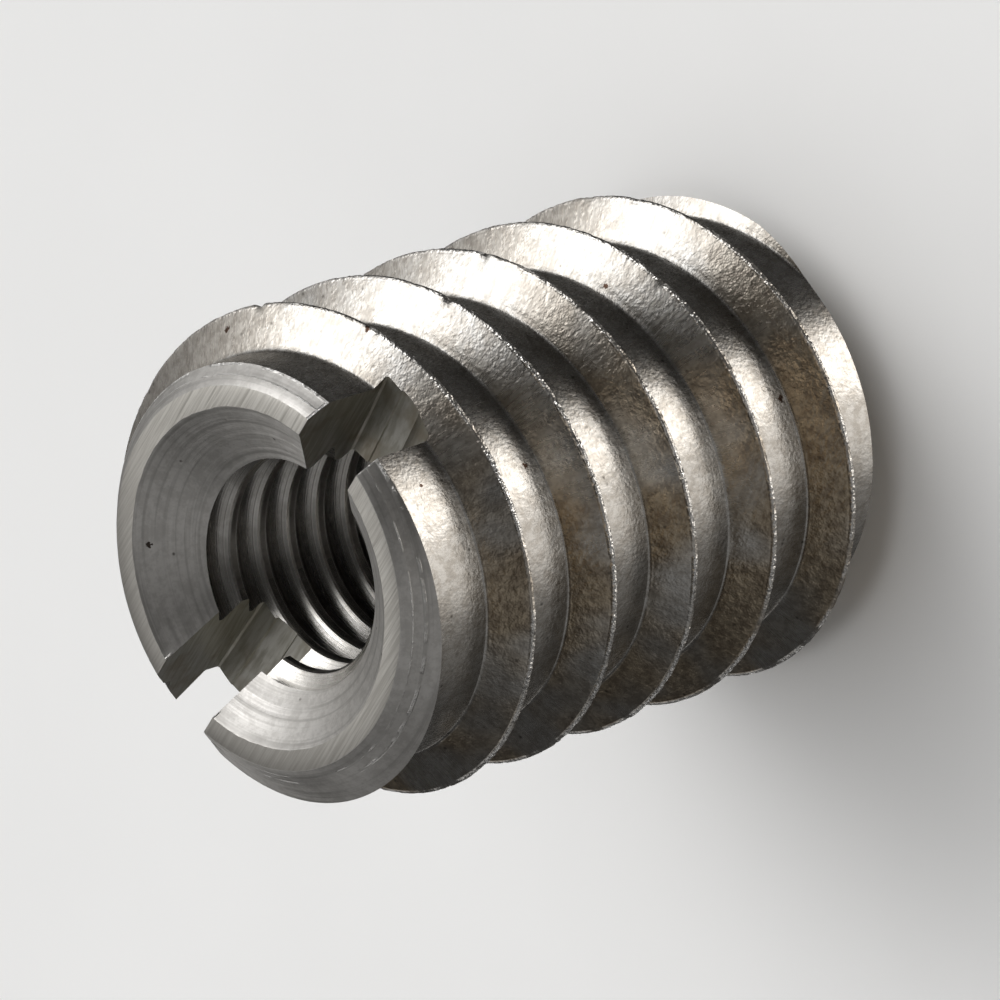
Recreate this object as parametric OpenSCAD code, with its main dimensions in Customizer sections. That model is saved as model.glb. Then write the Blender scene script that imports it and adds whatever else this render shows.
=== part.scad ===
// Slotted screw-in insert nut for wood, with a coarse outside thread and an M8 bore
// One turned piece of stainless steel. Millimetres. The plain end stands on z = 0,
// the axis is +Z, and the screwdriver slot lies along X across the upper end.

/* [Body] */
// Length along the axis
body_len = 20; // [14:0.5:30]
// Diameter of the smooth land between the outside ridges
root_d = 12.9; // [12:0.1:14]

/* [Outside thread] */
// Diameter over the crests of the outside thread
crest_d = 15.5; // [15:0.1:18]
// Advance of the outside thread for each turn
outer_pitch = 3.5; // [3:0.1:4.5]
// Angle of each flank from a plane square to the axis
flank_deg = 27.5; // [20:0.5:32]
// Width of the small land left on the crest
crest_land = 0.1; // [0.06:0.02:0.3]
// Height of the first crest above the plain end, in the direction of the slot
thread_start = 2.8; // [0:0.1:3.4]
// Straight pieces in one turn of the thread
turn_steps = 48; // [36:12:60]

/* [Slotted end] */
// Diameter of the flat face around the mouth
face_d = 11.8; // [11.4:0.1:12.4]
// Angle of the end cone from the plane of the face
cone_deg = 45; // [30:1:60]
// Width of the screwdriver slot
slot_w = 2.3; // [1.6:0.1:3]
// Depth of the screwdriver slot below the face, where it is deepest
slot_depth = 3.3; // [2:0.1:4]
// How far the slot's middle lies off the axis
slot_shift = 0.05; // [0:0.05:0.3]
// Diameter of the disc cutter that leaves the slot's hollow floor
cutter_d = 90; // [60:1:150]
// How far the cutter's middle lies off the axis, along the slot
cutter_shift = -0.4; // [-2:0.1:2]

/* [Bore] */
// Nominal diameter of the screw that fits the bore
screw_d = 8; // [6:1:8]
// Pitch of the screw that fits the bore
screw_pitch = 1.25; // [1:0.25:1.25]
// Diameter of the countersunk mouth
mouth_d = 10.5; // [9.5:0.1:11]
// Angle of the countersink from the axis
sink_deg = 54; // [45:1:60]
// Countersink at the plain end, wider than the bore by this much all round, past its thread
lead_in = 0.8; // [0.7:0.1:1.2]

/* [Plain end] */
// Diameter at which the outside thread starts on the plain end
tip_d = 13.8; // [13.2:0.1:15]

/* [Hidden] */
round_steps = 96;
cutter_steps = 384;
turn = 360;
// Minor diameter of the screw's thread, the diameter the hole is drilled to
bore_d = screw_d - 1.0825 * screw_pitch;
crest_r = crest_d / 2;
root_r = root_d / 2;
face_r = face_d / 2;
mouth_r = mouth_d / 2;
bore_r = bore_d / 2;
tip_r = tip_d / 2;
// Ridge foot sunk into the core, so that the two overlap
foot_sink = 0.5;
foot_r = root_r - foot_sink;
foot_half = crest_land / 2 + (crest_r - foot_r) * tan(flank_deg);
// Spare length of cutters past the surfaces they cut
past = 1;
cone_rise = (crest_r + past - face_r) * tan(cone_deg);
sink_depth = (mouth_r - bore_r) / tan(sink_deg);
// The ridge is swept a little past both ends and then cut to length
first_turn = -ceil((thread_start + foot_half) / outer_pitch);
last_turn = ceil((body_len - thread_start + foot_half) / outer_pitch);
ridge_rows = (last_turn - first_turn) * turn_steps;

// One cross section of the ridge, at a step counted along the thread
function ridge_row(step) =
    let (
        at_turn = first_turn + step / turn_steps,
        a = turn * at_turn,
        z = thread_start + outer_pitch * at_turn
    )
    [
        [foot_r * cos(a), foot_r * sin(a), z - foot_half],
        [crest_r * cos(a), crest_r * sin(a), z - crest_land / 2],
        [crest_r * cos(a), crest_r * sin(a), z + crest_land / 2],
        [foot_r * cos(a), foot_r * sin(a), z + foot_half]
    ];

// Corner of the ridge, by step along the thread and side of the section
function corner(step, side) = 4 * step + side % 4;

// The outside thread as one closed helical ridge
module ridge() {
    points = [for (i = [0 : ridge_rows]) each ridge_row(i)];
    walls = [
        for (i = [0 : ridge_rows - 1]) for (s = [0 : 3]) each [
            [corner(i, s), corner(i + 1, s + 1), corner(i + 1, s)],
            [corner(i, s), corner(i, s + 1), corner(i + 1, s + 1)]
        ]
    ];
    start_cap = [[for (s = [3 : -1 : 0]) corner(0, s)]];
    end_cap = [[for (s = [0 : 3]) corner(ridge_rows, s)]];
    polyhedron(points = points, faces = concat(walls, start_cap, end_cap), convexity = 12);
}

// Turned outline that trims the ridge: lead-in at the plain end, cone at the slotted end
module turned_outline() {
    rotate_extrude($fn = round_steps)
        polygon([
            [0, 0],
            [tip_r, 0],
            [crest_r + past, crest_r + past - tip_r],
            [crest_r + past, body_len - cone_rise],
            [face_r, body_len],
            [0, body_len]
        ]);
}

// Straight core under the ridge, trimmed by the same turned outline
module core() {
    intersection() {
        cylinder(r = root_r, h = body_len, $fn = round_steps);
        turned_outline();
    }
}

// Hole for the screw, at the minor diameter of its thread
module bore() {
    translate([0, 0, -past])
        cylinder(r = bore_r, h = body_len + 2 * past, $fn = round_steps);
}

// Countersunk mouth in the slotted end
module countersink() {
    translate([0, 0, body_len - sink_depth])
        cylinder(
            r1 = bore_r,
            r2 = mouth_r + past * tan(sink_deg),
            h = sink_depth + past,
            $fn = round_steps
        );
}

// Small countersink in the plain end
module plain_end_lead() {
    translate([0, 0, -past])
        cylinder(r1 = bore_r + lead_in + past, r2 = bore_r, h = lead_in + past, $fn = round_steps);
}

// Screwdriver slot across the whole slotted end, its floor hollow as the disc cutter leaves it
module slot() {
    translate([cutter_shift, slot_shift, body_len - slot_depth + cutter_d / 2])
        rotate([90, 0, 0])
            cylinder(d = cutter_d, h = slot_w, center = true, $fn = cutter_steps);
}

module insert_nut() {
    color("silver")
        difference() {
            union() {
                core();
                intersection() {
                    ridge();
                    turned_outline();
                }
            }
            bore();
            countersink();
            plain_end_lead();
            slot();
        }
}

insert_nut();
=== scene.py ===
import math
import bmesh
import bpy
from mathutils import Matrix, Vector, noise


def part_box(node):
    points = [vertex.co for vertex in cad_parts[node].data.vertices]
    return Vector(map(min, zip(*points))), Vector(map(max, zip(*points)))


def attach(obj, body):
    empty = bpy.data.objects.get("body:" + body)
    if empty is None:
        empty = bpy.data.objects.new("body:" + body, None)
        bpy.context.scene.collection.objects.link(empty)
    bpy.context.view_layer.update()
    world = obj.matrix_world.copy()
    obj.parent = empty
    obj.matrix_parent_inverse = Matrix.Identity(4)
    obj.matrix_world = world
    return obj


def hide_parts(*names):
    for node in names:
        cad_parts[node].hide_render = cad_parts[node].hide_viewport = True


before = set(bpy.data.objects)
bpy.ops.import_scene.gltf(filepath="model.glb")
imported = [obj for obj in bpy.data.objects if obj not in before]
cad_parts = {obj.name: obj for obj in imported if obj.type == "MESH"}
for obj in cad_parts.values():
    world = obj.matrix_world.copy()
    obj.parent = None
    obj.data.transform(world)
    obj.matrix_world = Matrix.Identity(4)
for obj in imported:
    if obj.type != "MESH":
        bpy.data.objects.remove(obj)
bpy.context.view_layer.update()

mm = 0.001


# The view
# The insert stands on its plain end, and the camera looks down on its slotted end from
# the photograph's angle. It is rolled so that the axis runs up to the right.
view_azimuth = math.radians(-29.37)
view_elevation = math.radians(43.03)
view_roll = math.radians(-109.25)
view_distance = 394.95 * mm
view_aim = Vector((0.06, -0.23, 9.83)) * mm
view_lens = 472.3

towards_camera = Vector((
    math.cos(view_elevation) * math.cos(view_azimuth),
    math.cos(view_elevation) * math.sin(view_azimuth),
    math.sin(view_elevation)))
level_right = Vector((-math.sin(view_azimuth), math.cos(view_azimuth), 0))
level_up = towards_camera.cross(level_right)
camera_right = level_right * math.cos(view_roll) + level_up * math.sin(view_roll)
camera_up = level_up * math.cos(view_roll) - level_right * math.sin(view_roll)

camera_data = bpy.data.cameras.new("camera")
camera_data.sensor_fit = "HORIZONTAL"
camera_data.sensor_width = 36
camera_data.lens = view_lens
camera_data.clip_start = 0.01
camera_data.clip_end = 10
camera = bpy.data.objects.new("camera", camera_data)
bpy.context.scene.collection.objects.link(camera)
turned = Matrix((camera_right, camera_up, towards_camera)).transposed().to_4x4()
camera.matrix_world = Matrix.Translation(view_aim + towards_camera * view_distance) @ turned
bpy.context.scene.camera = camera


# The outside thread
# The blank is turned from stainless bar, and a coarse right-handed wood thread is cut on
# it: a narrow V ridge on a level land. Cutting leaves a thin ragged burr along the crest,
# and tumbling with other inserts leaves small dents on it.
low, high = (Vector(c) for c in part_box("insert_nut"))
body_len = high.z - low.z
crest_r = max(high.x, high.y)
root_r = 6.45 * mm
outer_pitch = 3.5 * mm
outer_phase = 2.8 * mm
flank_slope = math.tan(math.radians(27.5))
crest_half = 0.055 * mm
corner_soft = 0.06 * mm
burr_depth = 0.035 * mm
burr_bias = 0.15
# Heights of the ripples on flanks and lands, in millimetres
slow_ripple = 0.008
quick_ripple = 0.004
dent_share = 0.45
land_strips = 6
outer_steps = 420
past_ends = 1.6 * mm
# Dents: azimuth in degrees, height and radius of the spot, and its size, in millimetres
dents = [
    (8, 17.0, 7.1, 0.16), (-36, 18.2, 6.6, 0.14), (-29, 16.2, 7.75, 0.20), (21, 13.5, 7.75, 0.22),
    (-14, 9.6, 7.75, 0.18), (34, 10.3, 7.75, 0.24), (-52, 12.9, 7.75, 0.20), (5, 6.4, 7.75, 0.16),
    (52, 17.3, 7.75, 0.20), (-70, 8.9, 7.75, 0.22), (-5, 13.0, 6.45, 0.12), (-22, 8.3, 6.45, 0.10),
    (140, 14.5, 7.75, 0.22), (-150, 11.6, 7.75, 0.24), (175, 7.7, 7.75, 0.20), (100, 3.9, 7.75, 0.22)]
dent_spots = [
    (Vector((math.cos(math.radians(a)) * r, math.sin(math.radians(a)) * r, z)), size)
    for a, z, r, size in dents]


def solid(name, points, faces):
    """New object from its corner points and faces."""
    mesh = bpy.data.meshes.new(name)
    mesh.from_pydata(points, [], faces)
    made = bpy.data.objects.new(name, mesh)
    bpy.context.scene.collection.objects.link(made)
    return made


def helical_rod(name, profile, pitch, phase, steps, low_z, high_z, wobble=None):
    """Closed rod whose surface repeats the profile (height, radius) once a pitch along a helix."""
    first = math.floor((low_z - phase) / pitch) - 1
    last = math.ceil((high_z - phase) / pitch) + 1
    column = [(h + k * pitch, r) for k in range(first, last) for h, r in profile]
    count, per_turn = len(column), len(profile)
    points = []
    for j in range(steps):
        a = 2 * math.pi * j / steps
        for h, r in column:
            z = phase + h + pitch * j / steps
            if wobble and low_z < z < high_z:
                r = wobble(r, z, a)
            points.append((r * math.cos(a), r * math.sin(a), z))
    low_cap = len(points)
    points.append((0, 0, phase + column[0][0]))
    high_cap = len(points)
    points.append((0, 0, phase + column[-1][0] + pitch))
    faces = []
    for j in range(steps - 1):
        here, there = j * count, (j + 1) * count
        faces += [(here + i, there + i, there + i + 1, here + i + 1) for i in range(count - 1)]
        faces += [(low_cap, there, here), (high_cap, here + count - 1, there + count - 1)]
    # The last column meets the first one a pitch higher
    seam = (steps - 1) * count
    faces += [(seam + i, i + per_turn, i + per_turn + 1, seam + i + 1) for i in range(count - 1 - per_turn)]
    faces += [(low_cap, per_turn, seam), (high_cap, seam + count - 1 - per_turn, count - 1)]
    faces += [(low_cap, i, i + 1) for i in range(per_turn)]
    faces += [(high_cap, seam + count - 1 - i, seam + count - 2 - i) for i in range(per_turn)]
    rod = solid(name, points, faces)
    rod.data.validate()
    return rod


def outside_profile():
    """One pitch of the outside thread, from one crest to the next."""
    drop = crest_r - root_r
    foot = crest_half + drop * flank_slope
    rise = [(crest_half * 0.8, crest_r), (crest_half + 0.01 * mm, crest_r - 0.02 * mm)]
    for share in (0.12, 0.3, 0.5, 0.7, 0.86):
        rise.append((crest_half + drop * flank_slope * share, crest_r - drop * share))
    rise.append((foot - corner_soft * 0.5, root_r + corner_soft * 0.8))
    rise.append((foot + corner_soft * 0.15, root_r + corner_soft * 0.16))
    rise.append((foot + corner_soft, root_r))
    land_start, land_end = rise[-1][0], outer_pitch - rise[-1][0]
    width = land_end - land_start
    land = [(land_start + width * k / land_strips, root_r) for k in range(1, land_strips)]
    fall = [(outer_pitch - h, r) for h, r in reversed(rise)]
    return [(0.0, crest_r)] + rise + land + fall


def worn_radius(r, z, a):
    """Ragged crest, slightly uneven flanks and dents, always inside the turned size."""
    where = Vector((math.cos(a) * r, math.sin(a) * r, z)) / mm
    height = max(0.0, (r - root_r) / (crest_r - root_r))
    ragged = noise.noise(where * 0.9) + 0.6 * noise.noise(where * 2.7) + 0.9 * noise.noise(where * 8.0)
    nick = max(0.0, ragged + burr_bias) * burr_depth
    ripple = noise.noise(where * 0.7 + Vector((9, 4, 2))) * slow_ripple * mm
    ripple += noise.noise(where * 2.3 + Vector((3, 7, 1))) * quick_ripple * mm
    dent = 0.0
    for spot, size in dent_spots:
        if abs(spot.z - where.z) < size:
            gap = (where - spot).length / size
            if gap < 1:
                dent = max(dent, (1 - gap * gap) * size * dent_share * mm)
    return min(crest_r, r + ripple * (1 - height)) - nick * height ** 6 - dent


def add_node(tree, kind, takes=None, **settings):
    """Shader node with its inputs set to values or joined to other nodes' sockets."""
    made = tree.nodes.new(kind)
    for name, value in settings.items():
        setattr(made, name, value)
    for name, value in (takes or {}).items():
        if isinstance(value, bpy.types.NodeSocket):
            tree.links.new(value, made.inputs[name])
        else:
            made.inputs[name].default_value = value
    return made


def node_group(name, takes, gives):
    """Empty shader node group with named inputs (name: kind, or name: value) and outputs."""
    tree = bpy.data.node_groups.new(name, "ShaderNodeTree")
    for label, value in takes.items():
        if value == "vector":
            tree.interface.new_socket(label, in_out="INPUT", socket_type="NodeSocketVector")
        elif isinstance(value, tuple):
            made = tree.interface.new_socket(label, in_out="INPUT", socket_type="NodeSocketColor")
            made.default_value = value + (1,)
        else:
            made = tree.interface.new_socket(label, in_out="INPUT", socket_type="NodeSocketFloat")
            made.default_value = value
    for label, kind in gives.items():
        tree.interface.new_socket(label, in_out="OUTPUT", socket_type=kind)
    return tree, tree.nodes.new("NodeGroupInput").outputs, tree.nodes.new("NodeGroupOutput")


def cloud(tree, vector, scale, detail=3.0, roughness=0.55):
    """Noise between 0 and 1 at so many features to the metre."""
    made = add_node(tree, "ShaderNodeTexNoise", {
        "Vector": vector, "Scale": scale, "Detail": detail, "Roughness": roughness})
    return made.outputs["Fac"]


def ramp(tree, value, low, high, low_out=0.0, high_out=1.0):
    """Smooth step from one output value to the other."""
    made = add_node(tree, "ShaderNodeMapRange", {
        "Value": value, "From Min": low, "From Max": high, "To Min": low_out, "To Max": high_out},
        interpolation_type="SMOOTHSTEP")
    return made.outputs["Result"]


def calc(tree, operation, *values):
    """Result of one arithmetic step."""
    return add_node(tree, "ShaderNodeMath", dict(enumerate(values)), operation=operation).outputs[0]


def blend(tree, share, first, second):
    """Mix of two colours."""
    made = add_node(tree, "ShaderNodeMix", {0: share, 6: first, 7: second}, data_type="RGBA")
    return made.outputs[2]


def vector_step(tree, operation, takes, gives="Vector"):
    """Result of one step on vectors."""
    return add_node(tree, "ShaderNodeVectorMath", takes, operation=operation).outputs[gives]


def position(tree):
    return add_node(tree, "ShaderNodeTexCoord").outputs["Object"]


def from_axis(tree, place):
    """Place with its height left out, and its distance from the axis."""
    flat = vector_step(tree, "MULTIPLY", {0: place, 1: (1, 1, 0)})
    return flat, vector_step(tree, "LENGTH", {0: flat}, "Value")


def patchy_group():
    """Clean metal with cloudy stains and fine mottling."""
    tree, takes, gives = node_group(
        "patchy_tint",
        {"Vector": "vector", "Clean": (0.5, 0.5, 0.5), "Stained": (0.2, 0.2, 0.2), "Amount": 0.5,
         "Patch scale": 500.0, "Grain scale": 5000.0},
        {"Color": "NodeSocketColor", "Stain": "NodeSocketFloat"})
    wide = cloud(tree, takes["Vector"], takes["Patch scale"], 2.0, 0.6)
    fine = cloud(tree, takes["Vector"], takes["Grain scale"], 2.0, 0.7)
    both = calc(tree, "ADD", calc(tree, "MULTIPLY", wide, 0.62), calc(tree, "MULTIPLY", fine, 0.38))
    edge = calc(tree, "SUBTRACT", 0.78, calc(tree, "MULTIPLY", takes["Amount"], 0.56))
    edge_half = 0.11
    stain = ramp(tree, both, calc(tree, "SUBTRACT", edge, edge_half), calc(tree, "ADD", edge, edge_half))
    tree.links.new(stain, gives.inputs["Stain"])
    tree.links.new(blend(tree, stain, takes["Clean"], takes["Stained"]), gives.inputs["Color"])
    return tree


def pit_group():
    """Small round pits, as a mask that is 1 inside them."""
    tree, takes, gives = node_group(
        "pits", {"Vector": "vector", "Scale": 2500.0, "Size": 0.16}, {"Mask": "NodeSocketFloat"})
    cell = add_node(tree, "ShaderNodeTexVoronoi", {
        "Vector": takes["Vector"], "Scale": takes["Scale"], "Randomness": 1.0}).outputs["Distance"]
    here = ramp(tree, cloud(tree, takes["Vector"], 900.0, 1.0), 0.52, 0.62)
    spot = ramp(tree, cell, takes["Size"], 0.0)
    tree.links.new(calc(tree, "MULTIPLY", spot, here), gives.inputs["Mask"])
    return tree


def streak_group():
    """Streaks that run along the radius, the same all round the axis."""
    tree, takes, gives = node_group(
        "radial_streaks", {"Vector": "vector", "Count": 60.0, "Along": 500.0}, {"Streak": "NodeSocketFloat"})
    flat, radius = from_axis(tree, takes["Vector"])
    way = vector_step(tree, "NORMALIZE", {0: flat})
    wide = vector_step(tree, "SCALE", {0: way, "Scale": takes["Count"]})
    height = add_node(tree, "ShaderNodeSeparateXYZ", {0: takes["Vector"]}).outputs["Z"]
    drift = calc(tree, "ADD", radius, calc(tree, "MULTIPLY", height, 3.0))
    lift = add_node(tree, "ShaderNodeCombineXYZ", {"Z": calc(tree, "MULTIPLY", drift, takes["Along"])})
    place = vector_step(tree, "ADD", {0: wide, 1: lift.outputs[0]})
    tree.links.new(cloud(tree, place, 1.0, 2.0, 0.65), gives.inputs["Streak"])
    return tree


def ring_group():
    """Fine tool rings around the axis."""
    tree, takes, gives = node_group(
        "tool_rings", {"Vector": "vector", "Rings": 14000.0, "Wander": 260.0}, {"Height": "NodeSocketFloat"})
    flat, radius = from_axis(tree, takes["Vector"])
    slow = vector_step(tree, "SCALE", {0: flat, "Scale": takes["Wander"]})
    lift = add_node(tree, "ShaderNodeCombineXYZ", {"Z": calc(tree, "MULTIPLY", radius, takes["Rings"])})
    place = vector_step(tree, "ADD", {0: slow, 1: lift.outputs[0]})
    tree.links.new(cloud(tree, place, 1.0, 2.0, 0.6), gives.inputs["Height"])
    return tree


patchy_tint = patchy_group()
pits = pit_group()
radial_streaks = streak_group()
tool_rings = ring_group()


def use(tree, group, takes):
    """One use of a node group."""
    made = tree.nodes.new("ShaderNodeGroup")
    made.node_tree = group
    for name, value in takes.items():
        if isinstance(value, bpy.types.NodeSocket):
            tree.links.new(value, made.inputs[name])
        elif isinstance(value, tuple):
            made.inputs[name].default_value = value + (1,)
        else:
            made.inputs[name].default_value = value
    return made.outputs


def metal(name, anisotropic=0.0, rotation=0.0):
    """New metal, with its node tree and its shader's inputs."""
    made = bpy.data.materials.new(name)
    made.use_nodes = True
    shader = made.node_tree.nodes["Principled BSDF"].inputs
    shader["Metallic"].default_value = 1
    shader["Anisotropic"].default_value = anisotropic
    shader["Anisotropic Rotation"].default_value = rotation
    return made, made.node_tree, shader


def join_bump(tree, shader, height, distance):
    """Fine relief on the shader's surface."""
    made = add_node(tree, "ShaderNodeBump", {"Height": height, "Distance": distance, "Strength": 1.0})
    tree.links.new(made.outputs["Normal"], shader["Normal"])


# Single marks, each a place and a radius in millimetres
dirt_marks = [
    (3.42, 6.45, 17.69, 0.11), (6.42, 1.92, 7.07, 0.09), (7.20, 2.69, 17.09, 0.12),
    (5.875, -2.662, 14.255, 0.09), (5.576, -3.241, 3.405, 0.11), (6.043, -2.245, 18.412, 0.05)]


def marked(tree, place, marks):
    """Mask that is 1 inside a few single marks with uneven edges."""
    uneven = ramp(tree, cloud(tree, place, 9000.0, 2.0), 0.3, 0.7, -0.05 * mm, 0.05 * mm)
    total = 0.0
    for x, y, z, size in marks:
        gap = vector_step(tree, "DISTANCE", {0: place, 1: (x * mm, y * mm, z * mm)}, "Value")
        edge = calc(tree, "ADD", gap, uneven)
        total = calc(tree, "ADD", total, ramp(tree, edge, size * mm, size * 0.6 * mm))
    return total


def tumbled_steel():
    """Thread flanks, lands and crests: satin from tumbling, with rough lumps and small pits. A brownish
    painted reflection lies on the lumpy patches, and the crest burrs carry a near-white painted highlight,
    both strongest on the -Y side.
    """
    made, tree, shader = metal("tumbled_steel")
    place = position(tree)
    streak = use(tree, radial_streaks, {"Vector": place, "Count": 60.0, "Along": 1100.0})["Streak"]
    radius = from_axis(tree, place)[1]
    flank = ramp(tree, radius, root_r + 0.02 * mm, root_r + 0.12 * mm)
    worn_and_glint_band = ramp(tree, radius, crest_r - 0.12 * mm, crest_r - 0.04 * mm)
    across = add_node(tree, "ShaderNodeSeparateXYZ", {0: place}).outputs["Y"]
    # Mask for rough lumps, for a brownish painted reflection and for painted highlights on the crest burrs,
    # all strongest on the -Y side
    torn_and_painted_light_side = ramp(tree, across, 3.0 * mm, -4.0 * mm, 0.25, 1.0)
    torn_and_reflection_here = calc(tree, "MULTIPLY", ramp(tree, cloud(tree, place, 230.0, 2.0, 0.6), 0.36, 0.56), torn_and_painted_light_side)
    torn_and_reflection = calc(tree, "MULTIPLY", torn_and_reflection_here, flank)
    grey = use(tree, patchy_tint, {
        "Vector": place, "Clean": (0.50, 0.49, 0.47), "Stained": (0.38, 0.362, 0.335), "Amount": 0.5,
        "Patch scale": 2700.0, "Grain scale": 8500.0})
    # Brownish painted reflection on the lumpy patches, darker where stained
    reflection_brown = blend(tree, grey["Stain"], (0.46, 0.37, 0.25, 1), (0.25, 0.19, 0.125, 1))
    reflection_browned = blend(tree, calc(tree, "MULTIPLY", torn_and_reflection, 0.8), grey["Color"], reflection_brown)
    streaked = blend(tree, ramp(tree, streak, 0.56, 0.80, 0.0, 0.35), reflection_browned, (0.24, 0.22, 0.19, 1))
    pitted = use(tree, pits, {"Vector": place, "Scale": 2100.0, "Size": 0.20})["Mask"]
    spotted = blend(tree, calc(tree, "MULTIPLY", pitted, 0.85), streaked, (0.045, 0.038, 0.03, 1))
    # Painted highlight: the crest burrs in near-white, broken up by noise
    broken = ramp(tree, cloud(tree, place, 900.0, 1.0), 0.36, 0.52, 0.25, 1.0)
    burr_and_glint = calc(tree, "MULTIPLY", worn_and_glint_band, calc(tree, "MULTIPLY", torn_and_painted_light_side, broken))
    bright = blend(tree, calc(tree, "MULTIPLY", burr_and_glint, 0.9), spotted, (0.90, 0.89, 0.87, 1))
    dirty = blend(tree, marked(tree, place, dirt_marks), bright, (0.07, 0.042, 0.03, 1))
    tree.links.new(dirty, shader["Base Color"])
    rough = calc(tree, "ADD", ramp(tree, streak, 0.35, 0.7, 0.24, 0.31), calc(tree, "MULTIPLY", torn_and_reflection, 0.08))
    tree.links.new(rough, shader["Roughness"])
    fine_height = calc(tree, "ADD", calc(tree, "MULTIPLY", burr_and_glint, 5.5), 0.6)
    fine = calc(tree, "MULTIPLY", cloud(tree, place, 8300.0, 1.0, 0.6), fine_height)
    lump_height = ramp(tree, torn_and_reflection, 0.0, 1.0, 0.15, 2.8)
    lumps = calc(tree, "MULTIPLY", cloud(tree, place, 4300.0, 2.0, 0.65), lump_height)
    join_bump(tree, shader, calc(tree, "ADD", fine, lumps), 0.014 * mm)
    return made


outside = helical_rod(
    "outside", outside_profile(), outer_pitch, outer_phase, outer_steps,
    -past_ends, body_len + past_ends, worn_radius)
outside.data.materials.append(tumbled_steel())


# The turned ends
# The lathe faces both ends. It leaves a cone that cuts the ridge down to a flat ring at
# the slotted end, with a fine tool step on the cone, and a small lead-in at the plain end.
face_r = 5.9 * mm
cone_slope = math.tan(math.radians(45))
step_r = 6.165 * mm
step_drop = 0.012 * mm
tip_r = 6.9 * mm
edge_break = 0.04 * mm
spare = 1.0 * mm
round_steps = 288
mouth_r = 5.25 * mm
slot_left = 1.17 * mm
slot_right = -1.09 * mm
slot_depth = 3.3 * mm
wall_lean = 0.03
brush_angle = 4.0
flat_within = 0.001 * mm
mouth_marks = [(-2.847, 3.914, 19.702, 0.10), (-4.75, 1.25, 19.3, 0.07)]


def turned_piece(name, outline, ragged=None):
    """Closed solid of revolution from an outline (radius, height) that starts and ends on the axis."""
    points, rings = [], []
    for n, (r, z) in enumerate(outline):
        if r == 0:
            rings.append([len(points)])
            points.append((0, 0, z))
        else:
            rings.append(list(range(len(points), len(points) + round_steps)))
            for j in range(round_steps):
                a = 2 * math.pi * (j + 0.5) / round_steps
                away = ragged(n, r, a) if ragged else 0
                points.append(((r + away) * math.cos(a), (r + away) * math.sin(a), z))
    faces = []
    for lower, upper in zip(rings, rings[1:]):
        for j in range(round_steps):
            k = (j + 1) % round_steps
            if len(lower) == 1:
                faces.append((lower[0], upper[k], upper[j]))
            elif len(upper) == 1:
                faces.append((lower[j], lower[k], upper[0]))
            else:
                faces.append((lower[j], lower[k], upper[k], upper[j]))
    return solid(name, points, faces)


def cone_z(r):
    return body_len - (r - face_r) * cone_slope


turned_outline = turned_piece("turned_outline", [
    (0, 0),
    (tip_r - edge_break, 0),
    (tip_r, edge_break),
    (crest_r + spare, crest_r + spare - tip_r + edge_break),
    (crest_r + spare, cone_z(crest_r + spare)),
    (step_r + 0.012 * mm, cone_z(step_r + 0.012 * mm)),
    (step_r, cone_z(step_r) + step_drop * 0.8),
    (step_r - 0.02 * mm, cone_z(step_r - 0.02 * mm) + step_drop),
    (face_r + step_drop, body_len - edge_break * 0.3),
    (face_r - edge_break * 0.4, body_len),
    (0, body_len)])


def turned_steel():
    """Cone, countersinks and plain end: bright and finely ringed by the lathe tool, with near-white painted
    highlights on the burrs along its edges.
    """
    made, tree, shader = metal("turned_steel", 0.75, 0.25)
    place = position(tree)
    fine = use(tree, tool_rings, {"Vector": place, "Rings": 16000.0, "Wander": 110.0})["Height"]
    broad = use(tree, tool_rings, {"Vector": place, "Rings": 7000.0, "Wander": 120.0})["Height"]
    grey = use(tree, patchy_tint, {
        "Vector": place, "Clean": (0.75, 0.735, 0.71), "Stained": (0.63, 0.615, 0.59), "Amount": 0.5,
        "Patch scale": 2600.0, "Grain scale": 9000.0})
    lined = blend(tree, ramp(tree, broad, 0.50, 0.66, 0.0, 0.5), grey["Color"], (0.42, 0.41, 0.39, 1))
    pitted = use(tree, pits, {"Vector": place, "Scale": 1500.0, "Size": 0.12})["Mask"]
    marks = calc(tree, "ADD", pitted, marked(tree, place, mouth_marks))
    radius = from_axis(tree, place)[1]
    off_axis = add_node(tree, "ShaderNodeSeparateXYZ", {0: place}).outputs["Y"]
    # Thin burrs along the cone's lower edge, the tool step and both edges of the slot, painted near-white as
    # a highlight
    edges = 0.0
    for value, at, half in (
            (radius, root_r - 0.02 * mm, 0.05 * mm),
            (radius, step_r, 0.02 * mm),
            (off_axis, slot_left + wall_lean * slot_depth, 0.07 * mm),
            (off_axis, slot_right, 0.06 * mm)):
        gap = calc(tree, "ABSOLUTE", calc(tree, "SUBTRACT", value, at))
        edges = calc(tree, "MAXIMUM", edges, ramp(tree, gap, half, half * 0.4))
    broken = ramp(tree, cloud(tree, place, 1300.0, 2.0), 0.44, 0.58)
    outside_mouth = ramp(tree, radius, mouth_r - 0.3 * mm, mouth_r)
    burr_and_glint = calc(tree, "MULTIPLY", edges, calc(tree, "MULTIPLY", broken, outside_mouth))
    # Painted highlight: the edge burrs in near-white
    glint_edged = blend(tree, burr_and_glint, lined, (0.88, 0.87, 0.85, 1))
    tree.links.new(blend(tree, marks, glint_edged, (0.08, 0.065, 0.055, 1)), shader["Base Color"])
    tree.links.new(ramp(tree, fine, 0.3, 0.7, 0.42, 0.52), shader["Roughness"])
    around = add_node(tree, "ShaderNodeTangent", direction_type="RADIAL", axis="Z")
    tree.links.new(around.outputs["Tangent"], shader["Tangent"])
    wavy = calc(tree, "ADD", calc(tree, "MULTIPLY", fine, 0.5), broad)
    sparkle = calc(tree, "MULTIPLY", cloud(tree, place, 8000.0, 2.0), calc(tree, "MULTIPLY", burr_and_glint, 9.0))
    relief = calc(tree, "SUBTRACT", calc(tree, "ADD", wavy, sparkle), marks)
    join_bump(tree, shader, relief, 0.008 * mm)
    return made


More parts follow.
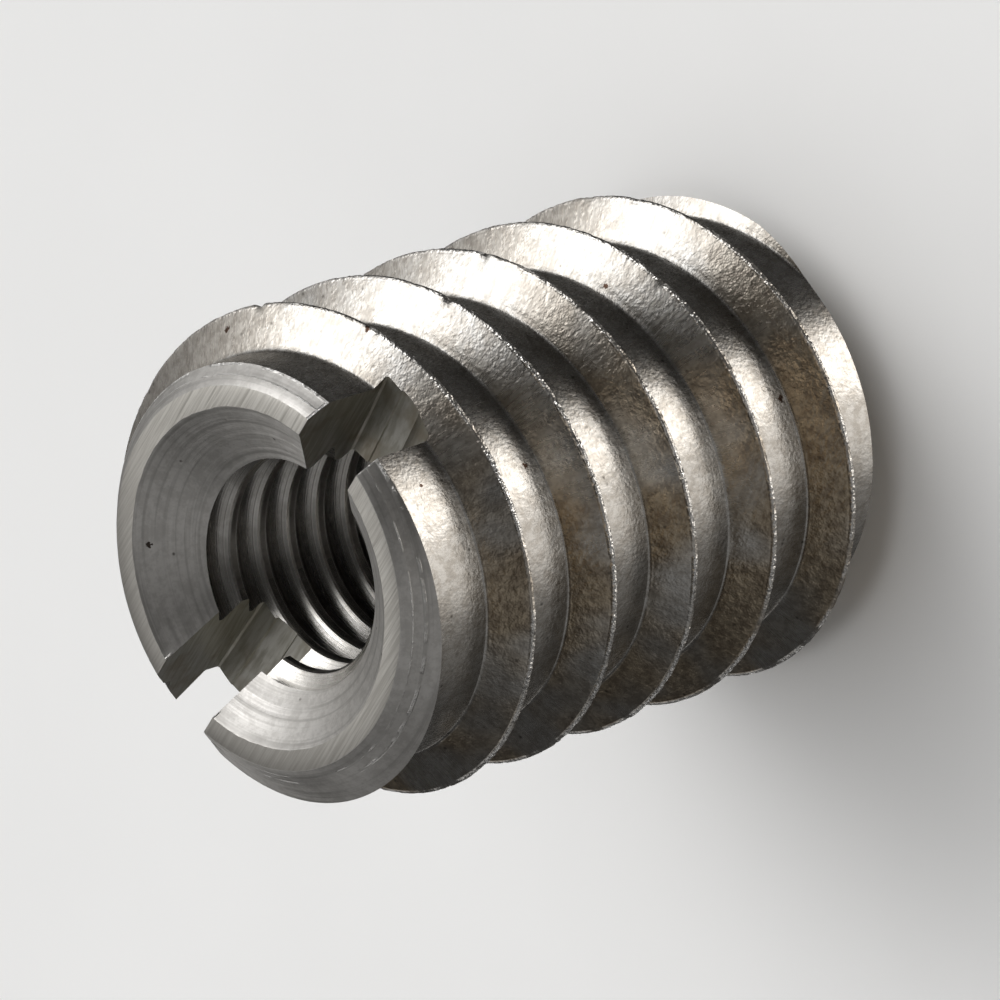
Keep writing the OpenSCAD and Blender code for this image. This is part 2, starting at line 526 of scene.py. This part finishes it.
def brushed_steel():
    """Ring face: ground with one straight pass, which leaves fine parallel scratches, and darker towards -X.
    """
    made, tree, shader = metal("brushed_steel")
    place = position(tree)
    along = add_node(tree, "ShaderNodeMapping", {
        "Vector": place, "Rotation": (0, 0, math.radians(-brush_angle)), "Scale": (380.0, 12500.0, 2000.0)})
    lines = cloud(tree, along.outputs[0], 1.0, 4.0, 0.65)
    scratch = cloud(tree, along.outputs[0], 0.45, 2.0, 0.5)
    tint = blend(tree, ramp(tree, lines, 0.36, 0.64), (0.60, 0.58, 0.535, 1), (0.78, 0.76, 0.71, 1))
    # The face is darker towards -X
    along_x = add_node(tree, "ShaderNodeSeparateXYZ", {0: place}).outputs["X"]
    darker_towards_minus_x = ramp(tree, along_x, 1.0 * mm, -5.0 * mm, 0.0, 0.6)
    toned = blend(tree, darker_towards_minus_x, tint, (0.40, 0.385, 0.36, 1))
    cut_in = blend(tree, ramp(tree, scratch, 0.62, 0.70, 0.0, 0.5), toned, (0.34, 0.32, 0.29, 1))
    tree.links.new(cut_in, shader["Base Color"])
    tree.links.new(ramp(tree, lines, 0.35, 0.65, 0.46, 0.36), shader["Roughness"])
    join_bump(tree, shader, lines, 0.006 * mm)
    return made


turned_outline.data.materials.append(turned_steel())
turned_outline.data.materials.append(brushed_steel())
for face in turned_outline.data.polygons:
    if face.center.z > body_len - flat_within:
        face.material_index = 1


# The bore
# An M8 thread is tapped right through, its crests left with a narrow flat. Both ends are
# countersunk with a lathe tool. It leaves ring marks in the mouth, whose edge is a little
# ragged.
screw_r = 4.0 * mm
inner_pitch = 1.25 * mm
# Depth of a metric thread for each millimetre of its pitch
depth_share = 0.54127
inner_crest_r = screw_r - depth_share * inner_pitch
inner_phase = 0.35 * mm
inner_steps = 150
sink_slope = math.tan(math.radians(54))
lead_in = 0.8 * mm
sink_start_r = 2.5 * mm
first_mark_r = 3.4 * mm
last_mark_r = mouth_r - 0.03 * mm
mark_count = 26
mark_depth = 0.006 * mm
ragged_edge = 0.022 * mm
ragged_width = 0.1 * mm


def bore_profile():
    """One pitch of the space that the tapped thread leaves, from one groove to the next."""
    groove_half = inner_pitch / 16
    ridge_half = inner_pitch / 8
    slope_len = inner_pitch / 2 - groove_half - ridge_half
    points = [(0.0, screw_r), (groove_half, screw_r - 0.01 * mm)]
    for share in (0.33, 0.67, 0.93):
        points.append((groove_half + slope_len * share, screw_r + (inner_crest_r - screw_r) * share))
    points.append((inner_pitch / 2 - ridge_half * 0.7, inner_crest_r))
    points.append((inner_pitch / 2 + ridge_half * 0.7, inner_crest_r))
    for share in (0.93, 0.67, 0.33):
        r = screw_r + (inner_crest_r - screw_r) * share
        points.append((inner_pitch - groove_half - slope_len * share, r))
    points.append((inner_pitch - groove_half, screw_r - 0.01 * mm))
    return points


def mouth_outline():
    """Countersink with its ring marks, from the axis below it to the axis above the face."""
    start_z = body_len - (mouth_r - sink_start_r) / sink_slope
    outline = [(0, start_z), (sink_start_r, start_z)]
    for k in range(mark_count + 1):
        r = first_mark_r + (last_mark_r - first_mark_r) * k / mark_count
        depth = mark_depth * (noise.noise(Vector((k * 1.7, 2.0, 5.0))) + 0.6 * (-1) ** k)
        outline.append((r, body_len - (mouth_r - r) / sink_slope + depth))
    outline += [(mouth_r, body_len), (mouth_r + spare * sink_slope, body_len + spare)]
    return outline + [(0, body_len + spare)]


def mouth_edge(n, r, a):
    """Raggedness of the mouth's upper edge."""
    if r < mouth_r - ragged_width or r > mouth_r + ragged_width:
        return 0
    where = Vector((math.cos(a), math.sin(a), 0)) * 5
    return ragged_edge * (noise.noise(where * 1.1) + 0.9 * noise.noise(where * 3.7))


def tapped_steel():
    """Bore thread: drawn along by the tap, darker than the turned faces."""
    made, tree, shader = metal("tapped_steel")
    place = position(tree)
    rings = use(tree, tool_rings, {"Vector": place, "Rings": 17000.0, "Wander": 60.0})["Height"]
    grey = use(tree, patchy_tint, {
        "Vector": place, "Clean": (0.58, 0.565, 0.54), "Stained": (0.44, 0.425, 0.40), "Amount": 0.5,
        "Patch scale": 1100.0, "Grain scale": 7000.0})
    lined = blend(tree, ramp(tree, rings, 0.50, 0.68, 0.0, 0.5), grey["Color"], (0.22, 0.21, 0.19, 1))
    tree.links.new(lined, shader["Base Color"])
    tree.links.new(ramp(tree, rings, 0.3, 0.7, 0.20, 0.32), shader["Roughness"])
    join_bump(tree, shader, rings, 0.004 * mm)
    return made


bore_space = helical_rod(
    "bore_space", bore_profile(), inner_pitch, inner_phase, inner_steps,
    -past_ends, body_len + past_ends)
bore_space.data.materials.append(tapped_steel())
mouth_space = turned_piece("mouth_space", mouth_outline(), mouth_edge)
mouth_space.data.materials.append(bpy.data.materials["turned_steel"])
lead_space = turned_piece("lead_space", [
    (0, -spare),
    (inner_crest_r + lead_in + spare, -spare),
    (sink_start_r, lead_in + inner_crest_r - sink_start_r),
    (0, lead_in + inner_crest_r - sink_start_r)])
lead_space.data.materials.append(bpy.data.materials["turned_steel"])


# The screwdriver slot
# A disc cutter is plunged into the slotted end, a little off the axis. Its floor is hollow
# along the slot, with two steps where the cutter's teeth were worn, and its left wall
# leans a little outwards.
cutter_r = 45 * mm
cutter_shift = -0.4 * mm
slot_reach = crest_r + spare
slot_stations = 60
floor_corner = 0.06 * mm
left_height = 0.06 * mm
right_height = 0.1 * mm
# Across the floor: offset from the axis and height above the cutter's lowest line, in millimetres
floor_steps = [
    (0.49, 0.05), (0.45, 0.012), (0.1, 0.0), (-0.36, 0.008), (-0.41, 0.035), (-0.8, 0.075)]
floor_lean = 0.016
lean_from = 0.45 * mm
lean_break = -0.4 * mm


def slot_cutter():
    """Closed space of the slot, as a ladder of cross sections along X."""
    across = [(slot_left, left_height + floor_corner), (slot_left - floor_corner, left_height)]
    across += [(y * mm, z * mm) for y, z in floor_steps]
    across += [(slot_right + floor_corner, right_height), (slot_right, right_height + floor_corner)]
    points, per = [], len(across) + 2
    for n in range(slot_stations + 1):
        x = -slot_reach + 2 * slot_reach * n / slot_stations
        bottom = body_len - slot_depth + (x - cutter_shift) ** 2 / (2 * cutter_r)
        top = body_len + spare
        rise = top - bottom
        points.append((x, slot_left + wall_lean * rise, top))
        for y, z in across:
            lean = floor_lean * max(0.0, -x) / mm * max(0.0, lean_from - y)
            if y <= lean_break:
                lean *= 0.9
            points.append((x, y, bottom + z - lean))
        points.append((x, slot_right, top))
    faces = [tuple(range(per)), tuple(reversed(range(slot_stations * per, (slot_stations + 1) * per)))]
    for n in range(slot_stations):
        here, there = n * per, (n + 1) * per
        faces += [(here + i, there + i, there + (i + 1) % per, here + (i + 1) % per) for i in range(per)]
    return solid("slot_space", points, faces)


def milled_steel():
    """Slot: fine tilted lines left by the cutter's teeth on the walls, and bands along the floor."""
    made, tree, shader = metal("milled_steel")
    place = position(tree)
    along = add_node(tree, "ShaderNodeMapping", {
        "Vector": place, "Rotation": (0, math.radians(20), 0), "Scale": (700.0, 5200.0, 7500.0)})
    lines = cloud(tree, along.outputs[0], 1.0, 3.0, 0.6)
    tint = blend(tree, ramp(tree, lines, 0.35, 0.65), (0.42, 0.405, 0.35, 1), (0.56, 0.55, 0.505, 1))
    smeared = ramp(tree, cloud(tree, place, 700.0, 3.0, 0.6), 0.50, 0.66, 0.0, 0.55)
    tree.links.new(blend(tree, smeared, tint, (0.30, 0.25, 0.18, 1)), shader["Base Color"])
    tree.links.new(ramp(tree, lines, 0.35, 0.65, 0.44, 0.36), shader["Roughness"])
    join_bump(tree, shader, lines, 0.008 * mm)
    return made


slot_space = slot_cutter()
slot_space.data.materials.append(milled_steel())


# Cutting the insert
# The turned outline trims the threaded rod, and the bore, the mouth, the lead-in and the
# slot are cut out of it in that order.
merge_within = 0.0005 * mm
sharp_angle = 24


def cut(body, tool, operation):
    """Cuts the body with the tool, whose material stays on the faces that it leaves."""
    step = body.modifiers.new(tool.name, "BOOLEAN")
    step.operation = operation
    step.object = tool
    step.solver = "MANIFOLD"
    step.material_mode = "TRANSFER"
    bpy.context.view_layer.update()
    shape = bpy.data.meshes.new_from_object(body.evaluated_get(bpy.context.evaluated_depsgraph_get()))
    body.modifiers.clear()
    body.data = shape
    bpy.data.objects.remove(tool)


for tool, operation in (
        (turned_outline, "INTERSECT"),
        (bore_space, "DIFFERENCE"),
        (mouth_space, "DIFFERENCE"),
        (lead_space, "DIFFERENCE"),
        (slot_space, "DIFFERENCE")):
    cut(outside, tool, operation)
insert = outside
insert.name = "insert"
insert.data.name = "insert"
# Points that the cuts leave on one another are merged
joined = bmesh.new()
joined.from_mesh(insert.data)
bmesh.ops.remove_doubles(joined, verts=joined.verts, dist=merge_within)
bmesh.ops.dissolve_degenerate(joined, dist=merge_within, edges=joined.edges)
joined.to_mesh(insert.data)
joined.free()
insert.data.shade_smooth()
insert.data.set_sharp_from_angle(angle=math.radians(sharp_angle))

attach(insert, "root")
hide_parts("insert_nut")


# The floor
# A plain pale tabletop, large enough that its edge is never seen. It is left out of the
# metal's reflections and shades nothing, so that the metal mirrors the studio alone.
floor = solid("floor", [(-1, -1, 0), (1, -1, 0), (1, 1, 0), (-1, 1, 0)], [(0, 1, 2, 3)])
pale = bpy.data.materials.new("pale_floor")
pale.use_nodes = True
paint = pale.node_tree
pale_shader = paint.nodes["Principled BSDF"].inputs
pale_tone = ramp(paint, cloud(paint, position(paint), 60.0), 0.3, 0.7)
pale_color = blend(paint, pale_tone, (0.86, 0.86, 0.855, 1), (0.88, 0.88, 0.875, 1))
paint.links.new(pale_color, pale_shader["Base Color"])
pale_shader["Roughness"].default_value = 0.9
pale_shader["Specular IOR Level"].default_value = 0
floor.data.materials.append(pale)
floor.visible_glossy = False
floor.visible_shadow = False


# The light
# The studio around the insert: a large soft box above and behind the upper side, a bright
# bench low in front, weak fills on the other sides, and otherwise a dark room. A broad
# light overhead is for the floor alone.
world = bpy.data.worlds.new("studio")
bpy.context.scene.world = world
world.use_nodes = True
room = world.node_tree
room.nodes.clear()
looking = add_node(room, "ShaderNodeTexCoord").outputs["Generated"]


def direction(azimuth, elevation):
    """Direction from the insert, both angles in degrees."""
    a, e = math.radians(azimuth), math.radians(elevation)
    return Vector((math.cos(e) * math.cos(a), math.cos(e) * math.sin(a), math.sin(e)))


def soft_box(azimuth, elevation, half_width, half_height, soft, strength):
    """Brightness of a soft rectangle far away, its half sizes and soft edge in degrees."""
    middle = direction(azimuth, elevation)
    side = Vector((-math.sin(math.radians(azimuth)), math.cos(math.radians(azimuth)), 0))
    above = middle.cross(side)
    ahead = vector_step(room, "DOT_PRODUCT", {0: looking, 1: middle}, "Value")
    for axis, half in ((side, half_width), (above, half_height)):
        across = vector_step(room, "DOT_PRODUCT", {0: looking, 1: axis}, "Value")
        angle = calc(room, "ABSOLUTE", calc(room, "ARCTAN2", across, ahead))
        strength = ramp(room, angle, math.radians(half + soft), math.radians(half - soft), 0.0, strength)
    return strength


def glow(boxes, ambient, color):
    """Light of several soft boxes and of the dim room between them."""
    total = ambient
    for more in boxes:
        total = calc(room, "ADD", total, more)
    return add_node(room, "ShaderNodeBackground", {"Color": color, "Strength": total}).outputs[0]


from_above = glow([
    # Main box and its glow
    soft_box(82, 51, 16, 14, 8, 3.7),
    soft_box(98, 31, 16, 15, 15, 0.64),
    soft_box(114, 10, 28, 26, 16, 0.26),
    # Panel that the flat ring mirrors
    soft_box(151, 45, 20, 15, 12, 0.57),
    # Pale wall on the other side
    soft_box(-88, 55, 30, 17, 14, 0.29),
    soft_box(-108, 18, 30, 15, 14, 0.20),
    # Weak fills for the sides that the photograph doesn't show
    soft_box(80, -21, 34, 8, 5, 0.9),
    soft_box(-156, -21, 16, 8, 5, 0.9),
    soft_box(-60, -4, 20, 8, 8, 0.40)], 0.038, (1.0, 0.99, 0.98, 1))
from_below = glow([
    # Bench low in front and its glow
    soft_box(-19, -48, 12, 10, 7, 3.2),
    soft_box(-46, -45, 21, 20, 14, 1.25),
    soft_box(-85, -42, 26, 20, 20, 0.20)], 0.018, (1.0, 0.95, 0.89, 1))
around = add_node(room, "ShaderNodeAddShader", {0: from_above, 1: from_below}).outputs[0]
behind = add_node(room, "ShaderNodeBackground", {"Color": (0.86, 0.86, 0.86, 1), "Strength": 1.0})
seen = add_node(room, "ShaderNodeLightPath").outputs["Is Camera Ray"]
either = add_node(room, "ShaderNodeMixShader", {0: seen, 1: around, 2: behind.outputs[0]})
add_node(room, "ShaderNodeOutputWorld", {"Surface": either.outputs[0]})
# Whites are shown as hard as in the photograph
bpy.context.scene.view_settings.view_transform = "Standard"
# Light fades out after a few reflections between the ridges
bpy.context.scene.cycles.max_bounces = 3
# The studio has no fine detail, so a small map of where its light comes from is enough
world.cycles.sampling_method = "MANUAL"
world.cycles.sample_map_resolution = 512


def floor_light(azimuth, elevation, distance, size, power):
    """Broad lamp for the floor, left out of the metal's reflections."""
    data = bpy.data.lights.new("floor_light", "AREA")
    data.shape = "DISK"
    data.size = size
    data.energy = power
    lamp = bpy.data.objects.new("floor_light", data)
    place = direction(azimuth, elevation) * distance
    lamp.matrix_world = Matrix.Translation(place) @ place.to_track_quat("Z", "Y").to_matrix().to_4x4()
    lamp.visible_glossy = False
    lamp.visible_camera = False
    bpy.context.scene.collection.objects.link(lamp)


floor_light(90, 65, 1.4, 2.4, 18)
